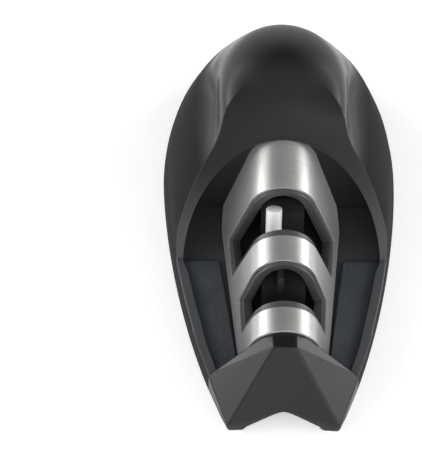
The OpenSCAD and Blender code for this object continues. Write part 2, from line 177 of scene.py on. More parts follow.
def fresh_tree(owner: bpy.types.Material | bpy.types.World) -> bpy.types.NodeTree:
    """Gives a material or a world an empty node tree.

    Args:
        owner: The material or world.

    Returns:
        The tree.
    """
    owner.use_nodes = True
    owner.node_tree.nodes.clear()
    return owner.node_tree


def noise(
    tree: bpy.types.NodeTree, place: bpy.types.NodeSocket, size_mm: float,
    layers: tuple[float, float],
) -> bpy.types.NodeSocket:
    """Adds a noise of one real size.

    Args:
        tree: The material's nodes.
        place: The point's place.
        size_mm: Size of the noise's cells in millimetres.
        layers: Number and strength of its finer layers.

    Returns:
        The noise's value.
    """
    detail, roughness = layers
    return add_node(
        tree, "ShaderNodeTexNoise", {"noise_dimensions": "3D"},
        {"Vector": place, "Scale": 1 / (size_mm * MM), "Detail": detail, "Roughness": roughness},
    ).outputs["Fac"]


@dataclass(frozen=True)
class Crown:
    """How a finish changes with height, in millimetres: in colour, which on the arms is painted
    light, and gloss, then duller.
    """

    low: float
    high: float
    colour: str
    roughness: float
    dull_low: float = 47.0
    dull_high: float = 54.0
    dull_roughness: float = 0.48


@dataclass(frozen=True)
class Finish:
    """A surface of one real material, with the fine texture that its making leaves."""

    name: str
    light: str
    dark: str
    roughness: float
    rough_spread: float
    grain_mm: float
    grain_depth_mm: float
    stretch: Place = (1.0, 1.0, 1.0)
    cloud_mm: float = 18.0
    metallic: float = 0.0
    ior: float = 1.5
    specular: float = 0.5
    anisotropic: float = 0.0
    nap: float = 0.0
    crown: Crown | None = None

    def material(self) -> bpy.types.Material:
        """Makes the finish's material the first time, and finds it again after that."""
        made = bpy.data.materials.get(self.name)
        return made or self.make()

    def make(self) -> bpy.types.Material:
        """Builds the nodes: colour clouds, roughness clouds and a grain in the surface.

        Returns:
            The new material.
        """
        made = bpy.data.materials.new(self.name)
        tree = fresh_tree(made)
        place = add_node(tree, "ShaderNodeTexCoord").outputs["Object"]
        turned = add_node(
            tree, "ShaderNodeMapping", {"vector_type": "POINT"},
            {"Vector": place, "Scale": self.stretch},
        ).outputs["Vector"]
        grain = noise(tree, turned, self.grain_mm, GRAIN_LAYERS)
        cloud = noise(tree, turned, self.cloud_mm, CLOUD_LAYERS)
        shade = 0.0
        for pattern in (grain, cloud):
            shade = add_node(
                tree, "ShaderNodeMath", {"operation": "MULTIPLY_ADD", "use_clamp": True},
                {0: pattern, 1: PATTERN_WEIGHT, 2: shade},
            ).outputs[0]
        colour = add_node(
            tree, "ShaderNodeMix", {"data_type": "RGBA"},
            {"Factor": shade, COLOUR_A: srgb(self.dark), COLOUR_B: srgb(self.light)},
        ).outputs[COLOUR_MIXED]
        rough = add_node(
            tree, "ShaderNodeMapRange", {},
            {
                "Value": shade, "From Min": SHADE_LOW, "From Max": SHADE_HIGH,
                "To Min": self.roughness - self.rough_spread,
                "To Max": self.roughness + self.rough_spread,
            },
        ).outputs["Result"]
        if self.crown:
            colour, rough = self.crowned(tree, place, colour, rough)
        bump = add_node(
            tree, "ShaderNodeBump", {},
            {"Height": grain, "Strength": 1.0, "Distance": self.grain_depth_mm * MM},
        ).outputs["Normal"]
        surface = add_node(
            tree, "ShaderNodeBsdfPrincipled", {},
            {
                "Base Color": colour, "Roughness": rough, "Normal": bump,
                "Metallic": self.metallic, "IOR": self.ior, "Specular IOR Level": self.specular,
                "Anisotropic": self.anisotropic, "Sheen Weight": self.nap,
            },
        )
        if self.anisotropic:
            along = add_node(tree, "ShaderNodeCombineXYZ", {}, {"Y": 1.0}).outputs["Vector"]
            tree.links.new(along, surface.inputs["Tangent"])
        add_node(tree, "ShaderNodeOutputMaterial", {}, {"Surface": surface.outputs["BSDF"]})
        return made

    def crowned(
        self, tree: bpy.types.NodeTree, place: bpy.types.NodeSocket,
        colour: bpy.types.NodeSocket, rough: bpy.types.NodeSocket,
    ) -> tuple[bpy.types.NodeSocket, bpy.types.NodeSocket]:
        """Blends the colour and the roughness to the crown's with height; on the arms the colour
        blend is painted light.

        Args:
            tree: The material's nodes.
            place: The point's place.
            colour: The colour below the crown.
            rough: The roughness below the crown.

        Returns:
            The blended colour and roughness.
        """
        height = add_node(tree, "ShaderNodeSeparateXYZ", {}, {"Vector": place}).outputs["Z"]
        near, far = (
            add_node(
                tree, "ShaderNodeMapRange", {"interpolation_type": "SMOOTHSTEP"},
                {"Value": height, "From Min": low * MM, "From Max": high * MM},
            ).outputs["Result"]
            for low, high in (
                (self.crown.low, self.crown.high), (self.crown.dull_low, self.crown.dull_high),
            )
        )
        shade = add_node(
            tree, "ShaderNodeMix", {"data_type": "RGBA"},
            {"Factor": near, COLOUR_A: colour, COLOUR_B: srgb(self.crown.colour)},
        ).outputs[COLOUR_MIXED]
        for share, gloss in ((near, self.crown.roughness), (far, self.crown.dull_roughness)):
            rough = add_node(
                tree, "ShaderNodeMix", {"data_type": "FLOAT"},
                {"Factor": share, NUMBER_A: rough, NUMBER_B: gloss},
            ).outputs[NUMBER_MIXED]
        return shade, rough


# Black ABS, matt on the sides, glossy where thumb and fingers rest, and satin on top
SATIN_ABS = Finish(
    "black palm worn ABS", "1a1b1d", "161719", 0.9, 0.05, 0.5, 0.003, specular=0.25,
    crown=Crown(33.0, 41.0, "1b1c1d", 0.27),
)
# The same ABS in satin on the arms and rims, painted paler low down: painted light standing in for
# the light the arms catch
FRONT_ABS_PAINTED_LIGHT = Finish(
    "black satin moulded ABS", "535558", "4d4f51", 0.38, 0.03, 0.45, 0.004, specular=0.25,
    crown=Crown(11.0, 37.0, "1b1c1d", 0.27),
)
# The nose, from a finely etched tool, which leaves an even soft gloss
NOSE_ABS = Finish(
    "black fine etched ABS", "1a1b1d", "161719", 0.36, 0.03, 0.45, 0.006, specular=0.42
)
# Bare back of the recess, from a rough tool, which keeps it dull
RECESS_ABS = Finish(
    "black rough moulded ABS", "36383a", "303133", 0.65, 0.04, 0.6, 0.006, specular=0.2
)
# Floor of the deck under the panels, from the same rough tool but painted paler to cancel the
# shade it lies in
FLOOR_ABS_PAINTED_LIGHT = Finish(
    "black rough deck ABS", "4c4e51", "444649", 0.7, 0.04, 0.6, 0.006, specular=0.2
)
# The inner frame, smoother and greyer than the body
FRAME_ABS = Finish(
    "grey black moulded ABS", "505254", "484a4c", 0.34, 0.04, 0.6, 0.004, specular=0.5
)
# The same ABS from a tool with a spark-eroded grain, drawn coarse enough to show as specks
GRAINED_ABS = Finish("black spark grained ABS", "5a5f66", "060709", 0.58, 0.1, 0.8, 0.12)
# Dull black ABS of the parts inside, straight from an unpolished tool
DULL_ABS = Finish(
    "dull black moulded ABS", "1b1c1d", "151617", 0.6, 0.04, 0.6, 0.004, specular=0.3
)
# Stainless steel sheet brushed across the ridge: bright bands with straight edges, and lines
# drawn coarse enough to show. The nap is the light that stray scratches scatter.
BRUSHED_STEEL = Finish(
    "brushed stainless steel", "ebeae8", "9b9a97", 0.5, 0.08, 0.45, 0.014,
    stretch=(0.04, 1.0, 0.04), metallic=1.0, anisotropic=0.85, nap=1.0,
)
# Fine ground alumina: white, even and slightly glossy
ALUMINA = Finish("white ground alumina", "fdfdfb", "f8f8f6", 0.35, 0.05, 0.4, 0.004, ior=1.76)
# Ground tungsten carbide: dark grey metal with a fine grinding mark
CARBIDE = Finish(
    "ground tungsten carbide", "6c6c6e", "555557", 0.4, 0.05, 0.3, 0.004,
    stretch=(1.0, 1.0, 0.2), metallic=1.0,
)
# Zinc plated steel of the screws: pale and fairly bright
ZINC = Finish("zinc plated steel", "b9bcbf", "9a9da1", 0.32, 0.05, 0.5, 0.003, metallic=1.0)
# Moulded rubber of the feet: matt and a little dusty
RUBBER = Finish("black moulded rubber", "202122", "18191a", 0.8, 0.05, 0.5, 0.01)


def bent_sheet(
    bm: bmesh.types.BMesh, columns: int, rows: int, place: Callable[[float, float], Place]
) -> None:
    """Adds a flat grid and bends it to a shape.

    Args:
        bm: The mesh that gets the sheet.
        columns: Cells across the sheet.
        rows: Cells along the sheet.
        place: Gives a point in millimetres for a share across and a share along.
    """
    flat = bmesh.ops.create_grid(bm, x_segments=columns, y_segments=rows, size=0.5)
    for vert in flat["verts"]:
        vert.co = place(*(min(1.0, max(0.0, way + 0.5)) for way in vert.co.xy))


def close_up(bm: bmesh.types.BMesh) -> None:
    """Welds sheets that meet and turns every face outwards.

    Args:
        bm: The mesh.
    """
    bmesh.ops.remove_doubles(bm, verts=bm.verts, dist=WELD)
    bmesh.ops.dissolve_degenerate(bm, dist=WELD / 4, edges=bm.edges)
    bmesh.ops.recalc_face_normals(bm, faces=bm.faces)


def turn_out(bm: bmesh.types.BMesh) -> None:
    """Turns the faces of an open shell so that its highest one looks up.

    Args:
        bm: The mesh.
    """
    bmesh.ops.recalc_face_normals(bm, faces=bm.faces)
    if max(bm.faces, key=lambda f: f.calc_center_median().z).normal.z < 0:
        bmesh.ops.reverse_faces(bm, faces=bm.faces)
    bm.normal_update()


def raised(bm: bmesh.types.BMesh, faces: Sequence[bmesh.types.BMFace], height: float) -> None:
    """Extrudes faces up or down to a closed slab.

    Args:
        bm: The mesh.
        faces: The faces that move.
        height: How far they move along Z.
    """
    grown = bmesh.ops.extrude_face_region(bm, geom=faces)["geom"]
    verts = [v for v in grown if isinstance(v, bmesh.types.BMVert)]
    bmesh.ops.translate(bm, vec=(0, 0, height), verts=verts)
    bmesh.ops.recalc_face_normals(bm, faces=bm.faces)


def flattened(bm: bmesh.types.BMesh) -> None:
    """Joins neighbouring faces that lie in one plane and turns every face outwards.

    Args:
        bm: The mesh.
    """
    turn = math.radians(FLAT_TURN)
    bmesh.ops.dissolve_limit(bm, angle_limit=turn, verts=bm.verts, edges=bm.edges)
    bmesh.ops.recalc_face_normals(bm, faces=bm.faces)


def placed(name: str, data: bpy.types.ID) -> bpy.types.Object:
    """Puts a mesh, a lamp or a camera into the scene.

    Args:
        name: The new object's name.
        data: What it shows.

    Returns:
        The new object.
    """
    made = bpy.data.objects.new(name, data)
    bpy.context.scene.collection.objects.link(made)
    return made


def finished(
    name: str, bm: bmesh.types.BMesh, finish: Finish, sharp: float = 40
) -> bpy.types.Object:
    """Turns a mesh in millimetres into a piece of the scene that rides on the body.

    Args:
        name: The piece's name.
        bm: The mesh, which is used up.
        finish: What the piece is made of.
        sharp: Edges that turn by more degrees than this stay sharp.

    Returns:
        The new object.
    """
    bmesh.ops.scale(bm, vec=(MM, MM, MM), verts=bm.verts)
    mesh = bpy.data.meshes.new(name)
    bm.to_mesh(mesh)
    bm.free()
    mesh.shade_smooth()
    mesh.set_sharp_from_angle(angle=math.radians(sharp))
    mesh.materials.append(finish.material())
    piece = placed(name, mesh)
    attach(piece, BODY)
    return piece


def even_shading(piece: bpy.types.Object) -> None:
    """Lets the large faces lead the shading of the small rounded edges between them."""
    steady = piece.modifiers.new("even shading", "WEIGHTED_NORMAL")
    steady.keep_sharp = True


def edges_between(
    bm: bmesh.types.BMesh, holds: Callable[[Vector, Vector], bool]
) -> list[bmesh.types.BMEdge]:
    """The edges whose two ends pass a test."""
    return [e for e in bm.edges if holds(e.verts[0].co, e.verts[1].co)]


def sharp_edges(bm: bmesh.types.BMesh, degrees: float) -> list[bmesh.types.BMEdge]:
    """The edges that turn by more than an angle."""
    turn = math.radians(degrees)
    return [e for e in bm.edges if e.is_manifold and e.calc_face_angle(0) > turn]


def rounded(bm: bmesh.types.BMesh, edges: list, radius: float, steps: int = 3) -> None:
    """Rounds edges of a mesh.

    Args:
        bm: The mesh.
        edges: The edges.
        radius: The radius in millimetres.
        steps: Faces across the rounding.
    """
    bmesh.ops.bevel(
        bm, geom=edges, offset=radius, offset_type="OFFSET", segments=steps, profile=0.5,
        affect="EDGES", material=-1, clamp_overlap=True,
    )


@dataclass
class PalmHandle:
    """The black body: a dome for the palm, two arms round an arched recess, and a low rim."""

    # Levels, and places along the body
    foot_z: float = 2.0
    rim_z: float = 12.0
    deck_z: float = 10.0
    lip_z: float = 42.6
    lip_y: float = 0.2
    top_z: float = 60.0
    lean: float = 24.7 / 32.6
    wide_y: float = 17.94
    wide_z: float = 3.2
    nose_y: float = -64.4
    front_y: float = -78.0
    # The low outline and the rim, and where both fold into the nose
    fore_reach: float = 115.6
    fore_end: float = -65.6
    fold_start: float = -45.0
    fold_end: float = -62.0
    foot_power: float = 1.6
    rim_power: float = 1.66
    rim_low_z: float = 4.0
    rim_w: float = 2.8
    rim_merge: float = 6.0
    rim_drop: float = 1.5
    # Heights over the rim in which arms and flanks take their own shape, and its fullness
    arm_rise: float = 3.0
    flank_rise: float = 12.0
    flank_bow: float = 2.2
    hollow_turn: float = 0.55
    # The arch and the recess behind it, and the walls
    arch_half: float = 30.0
    arch_top: float = 41.5
    arch_power: float = 1.04
    recess_y: float = 0.8
    wall: float = 2.4
    gauge: float = 0.8
    base_top: float = 4.4
    # The front corners of the dome: where they lie, and the levels in which they fade
    corner_turn: float = 45.0
    corner_square: float = 0.82
    corner_from: float = 14.0
    corner_full: float = 46.0
    edge_fade: float = 30.0
    brow_bow: float = 2.4
    # Cells of the sheets
    quarter: int = 18
    back: int = 26
    land: int = 6
    levels: int = 46
    skirt_levels: int = 10
    brow_levels: int = 3
    dome_levels: int = 34
    rim_steps: int = 44
    wall_steps: int = 8
    back_steps: int = 12
    kerb_steps: int = 3
    # Rounded and sharp edges
    crease_radius: float = 0.6
    crease_over: float = 4.5
    arch_radius: float = 0.3
    sharp: float = 50.0
    # How far past a border a face still counts, and how far it has to face up or ahead
    seam: float = 0.05
    lip_seam: float = 0.1
    face_seam: float = 0.25
    arch_seam: float = 0.3
    up_turn: float = 0.3
    front_turn: float = 0.5

    def __post_init__(self) -> None:
        """Draws the curves that the skin follows from foot to top."""
        self.side = Fair([
            (2, 36.5), (3.2, 37.35), (7.8, 36.9), (12, 36.0), (16, 35.1), (20, 33.9), (24, 32.4),
            (28, 30.7), (32, 28.5), (34, 27.2), (36, 25.3), (37.5, 23.3), (39, 21.4), (40.5, 20.1),
            (42.6, 19.5),
        ])
        self.full = Fair([
            (2, 36.5), (3.2, 37.35), (7.8, 36.9), (12, 36.0), (16, 35.1), (20, 33.9), (24, 32.5),
            (28, 31.1), (32, 29.6), (35.5, 27.9), (37.1, 26.8), (40, 24.9), (42.6, 23.4),
        ])
        self.rear = Fair([
            (2, 59.2), (3.2, 60.0), (7.8, 59.0), (12, 56.6), (16, 53.2), (20, 49.6), (24, 46.0),
            (28, 42.4), (32, 38.9), (35.5, 36.2), (37.1, 35.0), (40, 32.6), (42.6, 30.2),
        ])
        self.crease = Fair([
            (12, 31.7), (15, 32.0), (17.7, 31.9), (19.7, 31.6), (21.7, 31.0), (23.7, 30.2),
            (25.6, 29.4), (27.6, 28.5), (29.6, 27.5), (31.5, 26.4), (33.5, 25.2), (35.5, 23.9),
            (37.5, 22.5), (39, 21.4), (41, 20.2), (42.6, 19.4),
        ])
        self.dome_side = Fair([
            (0, 19.5), (8, 19.7), (18, 20.0), (33, 19.6), (45, 19.0), (59, 18.0), (73, 16.9),
            (90, 16.2),
        ])
        self.dome_full = Fair([
            (0, 23.4), (4.6, 22.3), (11, 21.2), (18, 20.4), (25, 19.9), (33, 19.6), (41, 19.2),
            (50, 18.7), (59, 18.0), (73, 16.9), (90, 16.2),
        ])
        self.dome_rear = Fair([
            (0, 30.2), (4.6, 29.0), (11.3, 27.7), (18, 26.6), (25, 25.5), (33, 24.2), (41, 22.9),
            (50, 21.4), (59, 19.8), (73, 17.9), (90, 16.6),
        ])
        self.dome_front = Fair([
            (0, 17.74), (10, 15.9), (18, 14.8), (33, 13.2), (45, 12.0), (59, 10.9), (73, 10.2),
            (90, 9.8),
        ])
        self.dome_corner = Fair([
            (0, 19.4), (6, 18.8), (15, 18.0), (25, 17.2), (40, 15.2), (90, 0.0),
        ])
        self.rim_top = Fair([
            (self.front_y - 1, self.rim_low_z), (self.nose_y, 10.5), (-59.5, 11.6),
            (-53, self.rim_z),
        ])
        self.crease_foot = self.outline(self.rim_z, self.arm_foot_y)

    @property
    def arm_foot_y(self) -> float:
        """Where the arms stand on the rim, along the body."""
        return self.leaning(self.rim_z)

    @property
    def around(self) -> int:
        """Cells of the skin from one crease round the back to the other."""
        return 2 * (self.quarter + self.back)

    @property
    def bend(self) -> float:
        """Share of those cells that lie between the crease and the widest place."""
        return self.quarter / (self.quarter + self.back)

    def leaning(self, z: float) -> float:
        """Place along the body of the leaning face at a height."""
        return self.lip_y + (z - self.lip_z) * self.lean

    def outline(self, z: float, y: float) -> float:
        """Finds the edge of the low part of the body in front of its widest place.

        Args:
            z: Height of the level.
            y: Place along the body.

        Returns:
            Half width of the body there.
        """
        if z > self.wide_z:
            z = blend(z, self.wide_z, ease(-self.fold_start, -self.fold_end, -y))
        power = blend(
            self.foot_power, self.rim_power, (z - self.foot_z) / (self.rim_z - self.foot_z)
        )
        share = min(1.0, max(0.0, (self.wide_y - y) / self.fore_reach))
        return self.side(z) * (1 - share**power) ** (1 / power)

    def quarter_point(self, z: float, share: float) -> Spot:
        """Point of the skin between its widest place and the crease, below the lip.

        Args:
            z: Height of the point.
            share: 0 at the widest place, 1 at the crease.

        Returns:
            Half width and place along the body.
        """
        low_y = blend(self.wide_y, self.arm_foot_y, share)
        if z <= self.rim_z:
            return self.outline(z, low_y), low_y
        y = blend(self.wide_y, self.leaning(z), share)
        grown = ease(self.rim_z, self.rim_z + self.arm_rise, z)
        edge = blend(self.crease_foot, self.crease(z), grown)
        wide = self.outline(self.rim_z, self.wide_y)
        low = (self.outline(self.rim_z, low_y) - self.crease_foot) / (wide - self.crease_foot)
        high = 1 - share**self.flank_bow
        bow = blend(low, high, ease(self.rim_z, self.rim_z + self.flank_rise, z))
        return edge + (self.side(z) - edge) * bow, y

    def skin_point(self, across: float, z: float) -> Place:
        """Point of the skin below the lip.

        Args:
            across: Share of the way from the right crease round the back to the left one.
            z: Height of the point.

        Returns:
            The point.
        """
        side, turn = halves(across)
        if turn < self.bend:
            x, y = self.quarter_point(z, 1 - turn / self.bend)
            return (side * x, y, z)
        angle = self.back_angle(turn)
        half = blend(self.side(z), self.full(z), self.fullness(angle))
        return (side * half * math.cos(angle), self.wide_y + self.rear(z) * math.sin(angle), z)

    def back_angle(self, turn: float) -> float:
        """Angle round the back, in radians, from the share of the way in from a crease."""
        return math.pi / 2 * (turn - self.bend) / (1 - self.bend)

    def fullness(self, angle: float) -> float:
        """Share of the full width behind the thumb hollows, at an angle round the back."""
        return ease(0.0, self.hollow_turn, angle)

    def dome_point(self, across: float, rise: float) -> Place:
        """Point of the dome above the lip.

        Args:
            across: From the right crease round the back to the left crease and over the front.
            rise: Angle of the level, 0 at the lip and 90 at the top, in degrees.

        Returns:
            The point.
        """
        step = across * (self.around + 2 * self.land)
        if step > self.around:
            side, inward = halves((step - self.around) / (2 * self.land))
            x, y = self.dome_ahead(inward, rise)
            return (-side * x, y, self.dome_height(rise))
        side, turn = halves(step / self.around)
        if turn < self.bend:
            x, y = self.dome_beside(1 - turn / self.bend, rise)
        else:
            x, y = self.dome_behind(self.back_angle(turn), rise)
        return (side * x, y, self.dome_height(rise))

    def dome_height(self, rise: float) -> float:
        """Height of a level of the dome."""
        return self.lip_z + (self.top_z - self.lip_z) * math.sin(math.radians(rise))

    def dome_reach(self, curve: Fair, rise: float) -> float:
        """Reach of the dome at a level, from the curve for one of its sides."""
        return curve(rise) * math.cos(math.radians(rise))

    def dome_behind(self, angle: float, rise: float) -> Spot:
        """Point of the dome behind its widest place.

        Args:
            angle: Angle round the back, in radians.
            rise: Angle of the level.

        Returns:
            Half width and place along the body.
        """
        full = self.dome_reach(self.dome_full, rise)
        half = blend(self.dome_reach(self.dome_side, rise), full, self.fullness(angle))
        rear = self.dome_reach(self.dome_rear, rise)
        return half * math.cos(angle), self.wide_y + rear * math.sin(angle)

    def dome_beside(self, share: float, rise: float) -> Spot:
        """Point of the dome between its widest place and its front corner.

        Args:
            share: 0 at the widest place, 1 at the corner.
            rise: Angle of the level.

        Returns:
            Half width and place along the body.
        """
        side = self.dome_reach(self.dome_side, rise)
        edge_x, edge_y = self.dome_edge(rise)
        hard_x = edge_x + (side - edge_x) * (1 - share**self.flank_bow)
        hard_y = blend(self.wide_y, edge_y, share)
        return self.dome_round((hard_x, hard_y), math.radians(self.corner_turn) * share, rise)

    def dome_ahead(self, inward: float, rise: float) -> Spot:
        """Point of the dome between its front corner and the middle of its front.

        Args:
            inward: 0 at the corner, 1 in the middle.
            rise: Angle of the level.

        Returns:
            Half width and place along the body.
        """
        front = self.dome_reach(self.dome_front, rise)
        edge_x, edge_y = self.dome_edge(rise)
        hard_x = edge_x * (1 - inward)
        hard_y = self.wide_y - front
        hard_y += (edge_y - self.wide_y + front) * (1 - inward) ** self.brow_bow
        angle = blend(math.radians(self.corner_turn), math.pi / 2, inward)
        return self.dome_round((hard_x, hard_y), angle, rise)

    def dome_round(self, hard: Spot, angle: float, rise: float) -> Spot:
        """Blends a point of the creased front to the round top of the dome.

        Args:
            hard: Half width and place of the point on the creased front.
            angle: Its angle round the front, in radians.
            rise: Angle of the level.

        Returns:
            Half width and place along the body.
        """
        soft = ease(self.corner_from, self.corner_full, rise)
        side, front = (self.dome_reach(c, rise) for c in (self.dome_side, self.dome_front))
        x = side * max(0.0, math.cos(angle)) ** self.corner_square
        y = self.wide_y - front * math.sin(angle) ** self.corner_square
        return blend(hard[0], x, soft), blend(hard[1], y, soft)

    def dome_edge(self, rise: float) -> Spot:
        """Finds the crease where it runs on over the dome.

        Args:
            rise: Angle of the level.

        Returns:
            Half width and place along the body.
        """
        ahead = self.leaning(self.dome_height(rise))
        behind = self.wide_y - self.dome_reach(self.dome_front, rise)
        faded = ease(self.corner_from, self.edge_fade, rise)
        return self.dome_corner(rise), blend(ahead, behind, faded)

    def arch_point(self, share: float) -> Spot:
        """Point of the arch at a level.

        Args:
            share: 0 where the arch stands on the rim, 1 at its top.

        Returns:
            Half width of the arch and its height.
        """
        low = math.asin((self.rim_z - self.deck_z) / (self.arch_top - self.deck_z))
        turn = blend(low, math.pi / 2, share)
        z = self.deck_z + (self.arch_top - self.deck_z) * math.sin(turn)
        return self.arch_half * max(0.0, math.cos(turn)) ** self.arch_power, z

    def arch_reach(self, z: float) -> float:
        """Half width of the arch at a height."""
        share = (z - self.deck_z) / (self.arch_top - self.deck_z)
        return self.arch_half * max(0.0, 1 - share * share) ** (self.arch_power / 2)

    def shell(self, bm: bmesh.types.BMesh) -> None:
        """Bends the sheets of the outer skin, the arms' faces and the dome.

        Args:
            bm: The body's mesh.
        """

        def skirt(u: float, v: float) -> Place:
            """The skin from its foot to the rim."""
            return self.skin_point(u, blend(self.foot_z, self.rim_z, v))

        def flank(u: float, v: float) -> Place:
            """The skin beside the arch, level with the arch's own points."""
            return self.skin_point(u, self.arch_point(v)[1])

        def collar(u: float, v: float) -> Place:
            """The skin between the arch's top and the lip."""
            return self.skin_point(u, blend(self.arch_top, self.lip_z, v))

        def dome(u: float, v: float) -> Place:
            """The dome."""
            return self.dome_point(u, TO_TOP * v)

        bent_sheet(bm, self.around, self.skirt_levels, skirt)
        bent_sheet(bm, self.around, self.levels, flank)
        bent_sheet(bm, self.around, self.brow_levels, collar)
        bent_sheet(bm, self.around + 2 * self.land, self.dome_levels, dome)
        for side in (-1, 1):
            def face(u: float, v: float) -> Place:
                """The leaning face of one arm, from its crease to the arch."""
                inner, z = self.arch_point(v)
                return (side * blend(self.quarter_point(z, 1)[0], inner, u), self.leaning(z), z)

            def brow(u: float, v: float) -> Place:
                """The same face above the arch, as far as the lip."""
                z = blend(self.arch_top, self.lip_z, v)
                return (side * self.quarter_point(z, 1)[0] * (1 - u), self.leaning(z), z)

            bent_sheet(bm, self.land, self.levels, face)
            bent_sheet(bm, self.land, self.brow_levels, brow)

    def recess(self, bm: bmesh.types.BMesh) -> None:
        """Bends the walls of the arched recess, level back from the arms, and its upright back.

        Args:
            bm: The body's mesh.
        """
        low = self.deck_z - self.rim_drop
        foot = self.arch_point(0)[0]

        def wall(u: float, v: float) -> Place:
            """The wall from the leaning face back, over the arch from left to right."""
            half, z = self.arch_point(halves(v)[1])
            return (-halves(v)[0] * half, blend(self.leaning(z), self.recess_y, u), z)

        def back(u: float, v: float) -> Place:
            """The upright wall at the rear."""
            half, z = self.arch_point(v)
            return (half * (2 * u - 1), self.recess_y, z)

        def kerb(u: float, v: float) -> Place:
            """The foot of that wall, down past the deck."""
            return (foot * (2 * u - 1), self.recess_y, blend(self.rim_z, low, v))

        bent_sheet(bm, self.wall_steps, 2 * self.levels, wall)
        bent_sheet(bm, self.back_steps, self.levels, back)
        bent_sheet(bm, self.back_steps, self.kerb_steps, kerb)
        for side in (-1, 1):
            def step(u: float, v: float) -> Place:
                """The foot of the wall beside one arm."""
                y = blend(self.arm_foot_y, self.recess_y, u)
                return (side * foot, y, blend(self.rim_z, low, v))

            bent_sheet(bm, self.wall_steps, self.kerb_steps, step)

    def rim_inner(self, y: float) -> float:
        """Finds the inner edge of the rim in front of the arms.

        Args:
            y: Place along the body.

        Returns:
            Half width there.
        """
        foot, merge = self.arm_foot_y, self.rim_merge
        edge = self.outline(self.rim_top(y), y)
        start = self.outline(self.rim_z, foot) - self.arch_point(0)[0]
        inset = blend(start, self.rim_w, ease(-foot, merge - foot, -y))
        return edge - inset * (1 - ease(-self.nose_y, merge - self.nose_y, -y))

    def fore_rim(self, bm: bmesh.types.BMesh, side: int) -> None:
        """Bends one side of the rim in front of the arms: outer wall, top, inner wall.

        Args:
            bm: The body's mesh.
            side: -1 for the left side, 1 for the right.
        """

        def along(v: float) -> Spot:
            """Place along the rim and the rim's height there."""
            y = blend(self.arm_foot_y, self.fore_end, v)
            return y, self.rim_top(y)

        def outer(u: float, v: float) -> Place:
            """The outer wall, from its foot up."""
            y, z = along(v)[0], blend(self.foot_z, along(v)[1], u)
            return (side * self.outline(z, y), y, z)

        def top(u: float, v: float) -> Place:
            """The flat top, inwards."""
            y, z = along(v)
            return (side * blend(self.outline(z, y), self.rim_inner(y), u), y, z)

        def inside(u: float, v: float) -> Place:
            """The inner wall, from the top down past the deck."""
            y, z = along(v)
            return (side * self.rim_inner(y), y, blend(z, min(self.deck_z, z) - self.rim_drop, u))

        bent_sheet(bm, self.skirt_levels, self.rim_steps, outer)
        bent_sheet(bm, self.kerb_steps, self.rim_steps, top)
        bent_sheet(bm, self.kerb_steps, self.rim_steps, inside)

    def build(self) -> bpy.types.Object:
        """Makes the body's shell.

        Returns:
            The piece, which stands for the shell of the solid model.
        """
        bm = bmesh.new()
        self.shell(bm)
        self.recess(bm)
        for side in (-1, 1):
            self.fore_rim(bm, side)
        close_up(bm)
        self.soften(bm)
        turn_out(bm)
        self.underside(bm)
        turn_out(bm)
        for face in bm.faces:
            face.material_index = self.region(face.calc_center_median(), face.normal)
        piece = finished("handle_shell", bm, SATIN_ABS, self.sharp)
        piece.data.materials.append(RECESS_ABS.material())
        piece.data.materials.append(FRONT_ABS_PAINTED_LIGHT.material())
        skin = piece.modifiers.new("moulded wall", "SOLIDIFY")
        skin.thickness = self.gauge * MM
        skin.offset = -1
        even_shading(piece)
        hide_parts("body_shell")
        return piece

    def region(self, at: Vector, normal: Vector) -> int:
        """Finds the finish of a face from its middle and the way it faces.

        Args:
            at: The face's middle.
            normal: The face's normal.

        Returns:
            0 for the handle, 1 for the recess, 2 for the arms and rims.
        """
        if at.z > self.lip_z + self.lip_seam or at.y > self.recess_y + self.seam:
            return 0
        if at.y < self.arm_foot_y - self.seam:
            return 2 if normal.z > self.up_turn or normal.x * at.x < 0 else 0
        ahead = self.leaning(at.z)
        if abs(at.y - ahead) < self.face_seam and normal.y < -self.front_turn:
            return 2
        within = abs(at.x) < self.arch_reach(max(at.z, self.rim_z)) + self.arch_seam
        return 1 if at.y > ahead and within else 0

    def underside(self, bm: bmesh.types.BMesh) -> None:
        """Turns the wall's foot inwards under the body and up round the base plate.

        Args:
            bm: The body's mesh.
        """
        low = self.foot_z + self.seam
        for inwards, step in ((True, self.wall), (False, self.base_top - self.foot_z)):
            edges = [
                e for e in bm.edges
                if e.is_boundary and max(v.co.z for v in e.verts) < low
                and (inwards or all(v.tag for v in e.verts))
            ]
            starts = {v: v.co.copy() for e in edges for v in e.verts}
            turned = {
                v: Vector((v.normal.x, v.normal.y, 0)).normalized() for v in starts
            }
            grown = bmesh.ops.extrude_edge_only(bm, edges=edges)["geom"]
            for vert in (v for v in grown if isinstance(v, bmesh.types.BMVert)):
                source = min(starts, key=lambda s: (starts[s] - vert.co).length_squared)
                if inwards:
                    vert.co -= turned[source] * step
                    vert.tag = True
                else:
                    vert.co.z += step

    def on_crease(self, point: Vector) -> bool:
        """Tells whether a point lies on the crease of an arm or where it starts on the dome.

        Args:
            point: The point.

        Returns:
            True if it does.
        """
        if not self.rim_z - LEVEL < point.z < self.lip_z + self.crease_over:
            return False
        if point.z > self.lip_z:
            rise = math.degrees(math.asin((point.z - self.lip_z) / (self.top_z - self.lip_z)))
            edge = self.dome_point(self.around / (self.around + 2 * self.land), rise)
        else:
            edge = self.quarter_point(point.z, 1)
        return abs(abs(point.x) - abs(edge[0])) < NEAR and abs(point.y - edge[1]) < NEAR

    def on_arch(self, point: Vector) -> bool:
        """Tells whether a point lies on the front edge of the arch.

        Args:
            point: The point.

        Returns:
            True if it does.
        """
        if abs(point.y - self.leaning(point.z)) > NEAR or point.z < self.rim_z - LEVEL:
            return False
        return abs(abs(point.x) - self.arch_reach(point.z)) < self.seam

    def on_rim(self, point: Vector) -> bool:
        """Tells whether a point lies on the outer edge of the rim in front of the arms.

        Args:
            point: The point.

        Returns:
            True if it does.
        """
        if point.y > self.arm_foot_y + LEVEL or abs(point.z - self.rim_top(point.y)) > LEVEL:
            return False
        return abs(abs(point.x) - self.outline(point.z, point.y)) < NEAR

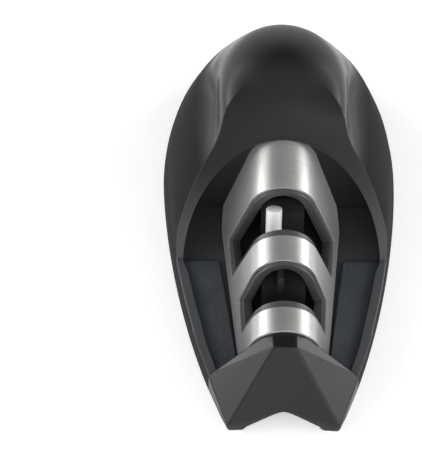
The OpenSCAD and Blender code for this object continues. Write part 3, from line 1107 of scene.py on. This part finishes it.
    def soften(self, bm: bmesh.types.BMesh) -> None:
        """Rounds the crease of the arms, the edges of the rim and the edge of the arch.

        Args:
            bm: The body's mesh.
        """
        crease = edges_between(bm, lambda a, b: self.on_crease(a) and self.on_crease(b))
        rim = edges_between(bm, lambda a, b: self.on_rim(a) and self.on_rim(b))
        rounded(bm, crease + rim, self.crease_radius)
        arch = edges_between(bm, lambda a, b: self.on_arch(a) and self.on_arch(b))
        rounded(bm, arch, self.arch_radius, steps=2)
        log.info("rounded %d crease, %d rim, %d arch edges", len(crease), len(rim), len(arch))


@dataclass(frozen=True)
class Opening:
    """Edges of a slot: places along the ridge, heights of its sill, and its rear wall's run."""

    front: float
    rear: float
    low_front: float
    low_rear: float
    run: float


class Slot(Enum):
    """The two slots of the column."""

    CERAMIC = Opening(-30.3, -15.2, 12.9, 13.2, 0.9)
    CARBIDE = Opening(-52.0, -37.9, 14.0, 15.2, 2.6)


@dataclass
class Column:
    """The ridge with its two slots: a sheet steel cover over a moulded frame."""

    front_y: float = -59.1
    rear_y: float = 5.6
    lip_y: float = 0.2
    ridge_z: float = 41.0
    slope: float = math.tan(math.radians(15))
    r_rear: float = 10.8
    r_front: float = 10.3
    foot_rear: float = 19.9
    foot_front: float = 13.1
    foot_tuck: float = 1.9
    tuck_from: float = -12.0
    tuck_full: float = 6.0
    flank: float = 0.42
    deck_z: float = 10.0
    sheet: float = 0.8
    frame_gap: float = 0.1
    frame_wall: float = 2.6
    ledge: float = 0.9
    front_ledge: float = 2.3
    eased: float = 0.12
    eased_turn: float = 50.0
    sharp: float = 35.0
    across: int = 120
    along: int = 150

    def ridge(self, y: float) -> float:
        """Height of the ridge at a place along the body."""
        return self.ridge_z + (y - self.lip_y) * self.slope

    def arch(self, u: float, y: float, inset: float = 0.0) -> Place:
        """Point of the arched cross-section.

        Args:
            u: Share of the way from the left foot over the ridge to the right foot.
            y: Place along the body.
            inset: Distance inside the column's outer face.

        Returns:
            The point.
        """
        share = (y - self.front_y) / (self.rear_y - self.front_y)
        r = blend(self.r_front, self.r_rear, share) - inset
        foot = blend(self.foot_front, self.foot_rear, share) - inset
        foot -= self.foot_tuck * ease(self.tuck_from, self.tuck_full, y)
        centre = self.ridge(y) - inset - r
        drop = centre - self.deck_z
        start = -math.atan2(drop, foot) + math.acos(r / math.hypot(foot, drop))
        side = -1 if u < 0.5 else 1
        t = abs(2 * u - 1)
        if t > 1 - self.flank:
            low = (t - 1 + self.flank) / self.flank
            return (
                side * blend(r * math.cos(start), foot, low), y,
                blend(centre + r * math.sin(start), self.deck_z, low),
            )
        turn = blend(math.pi / 2, start, t / (1 - self.flank))
        return (side * r * math.cos(turn), y, centre + r * math.sin(turn))

    def cut(self, bm: bmesh.types.BMesh, slot: Slot, ledge: float, front_ledge: float) -> None:
        """Cuts one slot through a sheet.

        Args:
            bm: The sheet's mesh.
            slot: Which slot.
            ledge: Width by which the sheet stands into the slot at its rear and its sill.
            front_ledge: The same width at the slot's front.
        """
        edge = slot.value
        top = self.ridge(edge.rear)
        front, rear = edge.front + front_ledge, edge.rear - ledge
        low_front, low_rear = edge.low_front + ledge, edge.low_rear + ledge
        reach = rear - edge.run - front
        planes = [
            ((0, front, 0), (0, 1, 0)),
            ((0, rear, top), (0, top - low_rear, -edge.run)),
            ((0, front, low_front), (0, -(low_rear - low_front), reach)),
        ]
        for point, normal in planes:
            bmesh.ops.bisect_plane(
                bm, geom=[*bm.verts, *bm.edges, *bm.faces], dist=HAIR,
                plane_co=point, plane_no=normal,
            )

        def inside(at: Vector) -> bool:
            """Tells whether a face lies between the slot's edges.

            Args:
                at: The face's middle.

            Returns:
                True if it does.
            """
            back = rear - edge.run * (top - at.z) / (top - low_rear)
            sill = blend(low_front, low_rear, (at.y - front) / reach)
            return front < at.y < back and at.z > sill

        gone = [f for f in bm.faces if inside(f.calc_center_median())]
        bmesh.ops.delete(bm, geom=gone, context="FACES")

    def skin(
        self, name: str, finish: Finish, inset: float, wall: float, ledges: tuple[float, float]
    ) -> bpy.types.Object:
        """Makes one arched sheet with both slots cut out.

        Args:
            name: The piece's name.
            finish: What it is made of.
            inset: Distance of the sheet inside the column's outer face.
            wall: Thickness of the sheet.
            ledges: Widths by which it stands into the slots, at the rear and at the front.

        Returns:
            The piece.
        """
        bm = bmesh.new()
        bent_sheet(
            bm, self.across, self.along,
            lambda u, v: self.arch(u, blend(self.front_y, self.rear_y, v), inset),
        )
        turn_out(bm)
        for slot in Slot:
            self.cut(bm, slot, *ledges)
        piece = finished(name, bm, finish, self.sharp)
        gauge = piece.modifiers.new("gauge", "SOLIDIFY")
        gauge.thickness = wall * MM
        gauge.offset = -1
        gauge.use_even_offset = True
        edge = piece.modifiers.new("eased edges", "BEVEL")
        edge.width = self.eased * MM
        edge.segments = 2
        edge.limit_method = "ANGLE"
        edge.angle_limit = math.radians(self.eased_turn)
        return piece

    def build(self) -> list[bpy.types.Object]:
        """Makes the steel cover and the frame under it.

        Returns:
            The two pieces, which stand for the cover and the frame of the solid model.
        """
        cover = self.skin("steel_skin", BRUSHED_STEEL, 0.0, self.sheet, (0.0, 0.0))
        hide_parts("steel_cover")
        inset = self.sheet + self.frame_gap
        inner = self.skin(
            "inner_frame", FRAME_ABS, inset, self.frame_wall, (self.ledge, self.front_ledge)
        )
        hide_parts("core_frame")
        return [cover, inner]


@dataclass
class Nose:
    """The faceted front of the body, with a notch under its front edge."""

    front_y: float = -78.0
    rear_y: float = -59.1
    top_y: float = -63.8
    top_z: float = 23.7
    top_half: float = 3.1
    foot_z: float = 2.0
    notch_y: float = -74.6
    notch_z: float = 7.6
    notch_half: float = 12.8
    wide_z: float = 3.2
    edge_z: float = 2.2
    overlap: float = 0.2
    over_rim: float = 0.1
    proud: float = 0.06
    rear_plain: float = 0.5
    stations: int = 10
    facet_turn: float = 14.0
    sharp: float = 45.0
    radius: float = 0.5
    rear_profile: tuple[Spot, ...] = (
        (0.0, 23.9), (3.2, 23.7), (6.2, 22.1), (8.8, 17.6), (11.0, 13.7), (12.9, 10.7),
        (13.2, 2.0),
    )

    def corners(self, handle: PalmHandle) -> list[Place]:
        """Corners of the right half, from the crest down to the outline.

        Args:
            handle: The body, whose outline the nose's side keeps to.

        Returns:
            The corners.
        """
        places: list[Place] = [
            (0, self.top_y, self.top_z), (self.top_half, self.top_y, self.top_z),
            (0, self.notch_y, self.notch_z), (self.notch_half, self.front_y, self.edge_z),
            (0, self.rear_y, self.foot_z),
        ]
        places += [(x, self.rear_y, z) for x, z in self.rear_profile]
        for step in range(self.stations + 1):
            y = blend(handle.nose_y - self.overlap, self.front_y, step / self.stations)
            edge = handle.rim_top(y) + self.over_rim
            for z in (edge, blend(edge, self.wide_z, 0.5), self.wide_z, self.foot_z):
                half = handle.outline(min(z, edge, handle.rim_z), y) + self.proud
                places.append((half, y, min(z, edge)))
        return places

    def build(self, handle: PalmHandle) -> bpy.types.Object:
        """Makes half the nose as the tight skin round its corners, mirrors and rounds it.

        Args:
            handle: The body, whose outline the nose's sides keep to.

        Returns:
            The piece, which stands for the nose of the solid model.
        """
        bm = bmesh.new()
        for corner in self.corners(handle):
            bmesh.ops.create_vert(bm, co=corner)
        hull = bmesh.ops.convex_hull(bm, input=bm.verts)
        loose = [v for v in hull["geom_interior"] if isinstance(v, bmesh.types.BMVert)]
        bmesh.ops.delete(bm, geom=loose, context="VERTS")
        middle = [f for f in bm.faces if all(abs(v.co.x) < HAIR for v in f.verts)]
        bmesh.ops.delete(bm, geom=middle, context="FACES")
        whole = [*bm.verts, *bm.edges, *bm.faces]
        bmesh.ops.mirror(bm, geom=whole, merge_dist=HAIR, axis="X")
        bmesh.ops.remove_doubles(bm, verts=bm.verts, dist=WELD)
        flattened(bm)
        edges = [
            e for e in sharp_edges(bm, self.facet_turn)
            if min(v.co.y for v in e.verts) < self.rear_y - self.rear_plain
        ]
        rounded(bm, edges, self.radius, steps=4)
        piece = finished("nose_block", bm, NOSE_ABS, self.sharp)
        even_shading(piece)
        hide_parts("nose")
        return piece


@dataclass
class DeckPanel:
    """A grained panel let into the deck on one side of the column."""

    side: int
    low_z: float = 9.1
    top_z: float = 10.5
    corner_radius: float = 0.8
    edge_radius: float = 0.5
    outline: tuple[Spot, ...] = (
        (18.9, -22.0), (30.0, -22.0), (29.3, -28.0), (26.9, -40.0), (23.6, -53.0), (20.6, -64.2),
        (13.6, -58.6),
    )

    def build(self) -> bpy.types.Object:
        """Makes the panel from its outline, raised and rounded.

        Returns:
            The piece, which stands for that panel of the solid model.
        """
        bm = bmesh.new()
        verts = [
            bmesh.ops.create_vert(bm, co=(self.side * x, y, self.low_z))["vert"][0]
            for x, y in self.outline
        ]
        base = bmesh.ops.contextual_create(bm, geom=verts)["faces"]
        raised(bm, base, self.top_z - self.low_z)
        corners = edges_between(bm, lambda a, b: abs(a.z - b.z) > LEVEL)
        rounded(bm, corners, self.corner_radius)
        crown = edges_between(bm, lambda a, b: min(a.z, b.z) > self.top_z - LEVEL)
        rounded(bm, crown, self.edge_radius)
        name = "left" if self.side < 0 else "right"
        piece = finished(f"grained_panel_{name}", bm, GRAINED_ABS)
        even_shading(piece)
        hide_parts(f"deck_panel_{name}")
        return piece


@dataclass
class Deck:
    """The sunk floor between the rims, under the panels."""

    z: float = 9.2
    thick: float = 1.2
    under_recess: float = 0.4
    under_rim: float = 1.0
    under_arch: float = 0.3
    across: int = 12
    along: int = 24

    def build(self, handle: PalmHandle) -> bpy.types.Object:
        """Makes the floor as one sheet from rim to rim, with its underside.

        Args:
            handle: The body, whose rims the floor ends under.

        Returns:
            The piece.
        """
        bm = bmesh.new()

        def half_width(y: float) -> float:
            """Half width of the floor at a place along the body."""
            widest = handle.arch_half + self.under_arch
            return min(handle.outline(handle.rim_z, y) - self.under_rim, widest)

        def floor(u: float, v: float) -> Place:
            """The floor's upper side."""
            y = blend(handle.nose_y, handle.recess_y + self.under_recess, v)
            return (half_width(y) * (2 * u - 1), y, self.z)

        bent_sheet(bm, self.across, self.along, floor)
        raised(bm, bm.faces[:], -self.thick)
        piece = finished("deck_floor", bm, FLOOR_ABS_PAINTED_LIGHT)
        return piece


@dataclass
class Stones:
    """The two white ceramic rods, cut a little below their solids' tops."""

    cut: float = 2.2
    edge: float = 0.25
    edge_turn: float = 60.0

    def build(self, solid: bpy.types.Object) -> bpy.types.Object:
        """Makes one rod from its solid, shortened at the top and with eased ends.

        Args:
            solid: The rod of the solid model.

        Returns:
            The piece, which stands for that solid.
        """
        bm = bmesh.new()
        bm.from_mesh(solid.data)
        bmesh.ops.scale(bm, vec=(1 / MM, 1 / MM, 1 / MM), verts=bm.verts)
        bmesh.ops.remove_doubles(bm, verts=bm.verts, dist=WELD)
        heights = [v.co.z for v in bm.verts]
        halfway = (max(heights) + min(heights)) / 2
        upper = [v for v in bm.verts if v.co.z > halfway]
        lower = [v for v in bm.verts if v.co.z <= halfway]
        head, foot = (sum((v.co for v in end), Vector()) / len(end) for end in (upper, lower))
        bmesh.ops.translate(bm, vec=(head - foot).normalized() * -self.cut, verts=upper)
        flattened(bm)
        rounded(bm, sharp_edges(bm, self.edge_turn), self.edge, steps=2)
        piece = finished(solid.name.replace("ceramic_rod", "ceramic_stone"), bm, ALUMINA)
        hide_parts(solid.name)
        return piece


class Insides:
    """Parts of the solid model that keep their shape and only need their finish."""

    finishes = {
        "base_plate": DULL_ABS,
        "ceramic_holder": DULL_ABS,
        "carbide_holder": DULL_ABS,
        "carbide_plate_rear": CARBIDE,
        "carbide_plate_front": CARBIDE,
        "carbide_screws": ZINC,
        "core_screws": ZINC,
        "base_screws": ZINC,
        "foot_pads": RUBBER,
    }

    def dress(self, nodes: dict[str, bpy.types.Object]) -> None:
        """Gives each of them its material.

        Args:
            nodes: The solid model's parts by name.
        """
        for name, finish in self.finishes.items():
            mesh = nodes[name].data
            mesh.materials.clear()
            mesh.materials.append(finish.material())
            log.info("%s keeps its solid and is %s", name, finish.name)


@dataclass(frozen=True)
class Lamp:
    """A soft rectangular lamp: its place and size in metres, and its power in watts."""

    name: str
    place: Place
    size: tuple[float, float]
    power: float


@dataclass
class Studio:
    """A white table under soft lamps, seen by the camera from in front and above."""

    aim: Place = (-21.5, -17.5, 20.0)
    azimuth: float = 0.7
    elevation: float = 50.0
    distance: float = 470.0
    focal_px: float = 1551.0
    frame_h_px: float = 458.0
    sensor: float = 36.0
    sight: tuple[float, float] = (0.01, 20.0)
    table_size: float = 3.0
    table_colour: str = "f4f4f4"
    floor_lift: float = 0.45
    lamp_aim: Place = (0.0, 0.0, 0.02)
    ceiling_way: Place = (0.0, 0.45, 1.0)
    ceiling_from: float = 0.6
    ceiling_full: float = 0.84
    wall_glow: float = 0.84
    ceiling_glow: float = 0.06
    lamps: tuple[Lamp, ...] = (
        Lamp("left box", (-1.08, 0.1, 0.74), (1.1, 0.7), 3.8),
        Lamp("right box", (1.15, 0.1, 0.62), (1.0, 0.7), 3.0),
        Lamp("left back box", (-1.05, 0.62, 0.37), (0.5, 0.28), 3.9),
        Lamp("right back box", (1.05, 0.62, 0.37), (0.5, 0.28), 3.4),
        Lamp("left low box", (-1.02, -0.46, 0.52), (0.7, 0.35), 2.1),
        Lamp("right low box", (1.02, -0.46, 0.52), (0.7, 0.35), 2.4),
        Lamp("front box", (0.42, -1.3, 0.6), (0.6, 0.35), 1.7),
    )

    def stand(
        self, name: str, data: bpy.types.ID, place: Vector, away: Vector
    ) -> bpy.types.Object:
        """Stands a camera or a lamp somewhere, with its back to a direction.

        Args:
            name: Its name.
            data: The camera or lamp.
            place: Its place in metres.
            away: The direction behind it.

        Returns:
            The new object.
        """
        made = placed(name, data)
        made.location = place
        made.rotation_mode = "QUATERNION"
        made.rotation_quaternion = away.to_track_quat("Z", "Y")
        return made

    def camera(self) -> None:
        """Places the camera, whose sensor spans the height of the upright frame."""
        data = bpy.data.cameras.new("view")
        data.sensor_width = self.sensor
        data.lens = self.focal_px * self.sensor / self.frame_h_px
        data.clip_start, data.clip_end = self.sight
        a, e = math.radians(self.azimuth), math.radians(self.elevation)
        away = Vector((math.sin(a) * math.cos(e), -math.cos(a) * math.cos(e), math.sin(e)))
        place = (Vector(self.aim) + away * self.distance) * MM
        bpy.context.scene.camera = self.stand("view", data, place, away)

    def hang(self, lamp: Lamp) -> None:
        """Hangs a lamp so that it faces the sharpener.

        Args:
            lamp: The lamp.
        """
        data = bpy.data.lights.new(lamp.name, "AREA")
        data.shape = "RECTANGLE"
        data.size, data.size_y = lamp.size
        data.energy = lamp.power
        place = Vector(lamp.place)
        self.stand(lamp.name, data, place, place - Vector(self.lamp_aim))

    def sky(self) -> None:
        """Lights the room softly: bright walls and a dim ceiling."""
        world = bpy.data.worlds.new("studio")
        tree = fresh_tree(world)
        way = add_node(tree, "ShaderNodeTexCoord").outputs["Generated"]
        height = add_node(
            tree, "ShaderNodeVectorMath", {"operation": "DOT_PRODUCT"},
            {0: way, 1: self.ceiling_way},
        ).outputs["Value"]
        ramp = add_node(
            tree, "ShaderNodeMapRange", {"interpolation_type": "SMOOTHSTEP"},
            {
                "Value": height, "From Min": self.ceiling_from, "From Max": self.ceiling_full,
                "To Min": self.wall_glow, "To Max": self.ceiling_glow,
            },
        ).outputs["Result"]
        glow = add_node(
            tree, "ShaderNodeBackground", {}, {"Color": (1, 1, 1, 1), "Strength": ramp}
        ).outputs["Background"]
        add_node(tree, "ShaderNodeOutputWorld", {}, {"Surface": glow})
        bpy.context.scene.world = world

    def table(self) -> None:
        """Lays a wide white table under the feet."""
        bm = bmesh.new()
        bmesh.ops.create_grid(bm, x_segments=1, y_segments=1, size=self.table_size)
        mesh = bpy.data.meshes.new("table")
        bm.to_mesh(mesh)
        bm.free()
        mesh.materials.append(self.table_finish())
        table = placed("table", mesh)

    def table_finish(self) -> bpy.types.Material:
        """Makes the table's white, which camera and reflections see a little lifted.

        Returns:
            The new material.
        """
        white = bpy.data.materials.new("white table")
        tree = fresh_tree(white)
        matt = add_node(
            tree, "ShaderNodeBsdfDiffuse", {}, {"Color": srgb(self.table_colour)}
        ).outputs["BSDF"]
        ray = add_node(tree, "ShaderNodeLightPath").outputs
        seen = ray["Is Camera Ray"]
        for kind in ("Is Glossy Ray", "Is Transmission Ray"):
            seen = add_node(
                tree, "ShaderNodeMath", {"operation": "MAXIMUM"}, {0: seen, 1: ray[kind]}
            ).outputs[0]
        lift = add_node(
            tree, "ShaderNodeMath", {"operation": "MULTIPLY"}, {0: seen, 1: self.floor_lift}
        ).outputs[0]
        pale = add_node(
            tree, "ShaderNodeEmission", {}, {"Color": (1, 1, 1, 1), "Strength": lift}
        ).outputs["Emission"]
        both = add_node(tree, "ShaderNodeAddShader", {}, {0: matt, 1: pale}).outputs["Shader"]
        add_node(tree, "ShaderNodeOutputMaterial", {}, {"Surface": both})
        return white

    def build(self) -> None:
        """Sets the whole studio up."""
        self.camera()
        self.sky()
        self.table()
        for lamp in self.lamps:
            self.hang(lamp)
        bpy.context.scene.view_settings.view_transform = "Standard"


def main() -> None:
    """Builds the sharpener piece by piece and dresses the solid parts."""
    logging.basicConfig(level=logging.INFO, format="%(name)s: %(message)s")
    Studio().build()
    handle = PalmHandle()
    made = [handle.build(), *Column().build(), Nose().build(handle), Deck().build(handle)]
    made += [DeckPanel(side).build() for side in (-1, 1)]
    made += [Stones().build(frame["nodes"][f"ceramic_rod_{end}"]) for end in ("rear", "front")]
    Insides().dress(frame["nodes"])
    for piece in made:
        log.info("%s has %d faces", piece.name, len(piece.data.polygons))


if __name__ == "__main__":
    main()
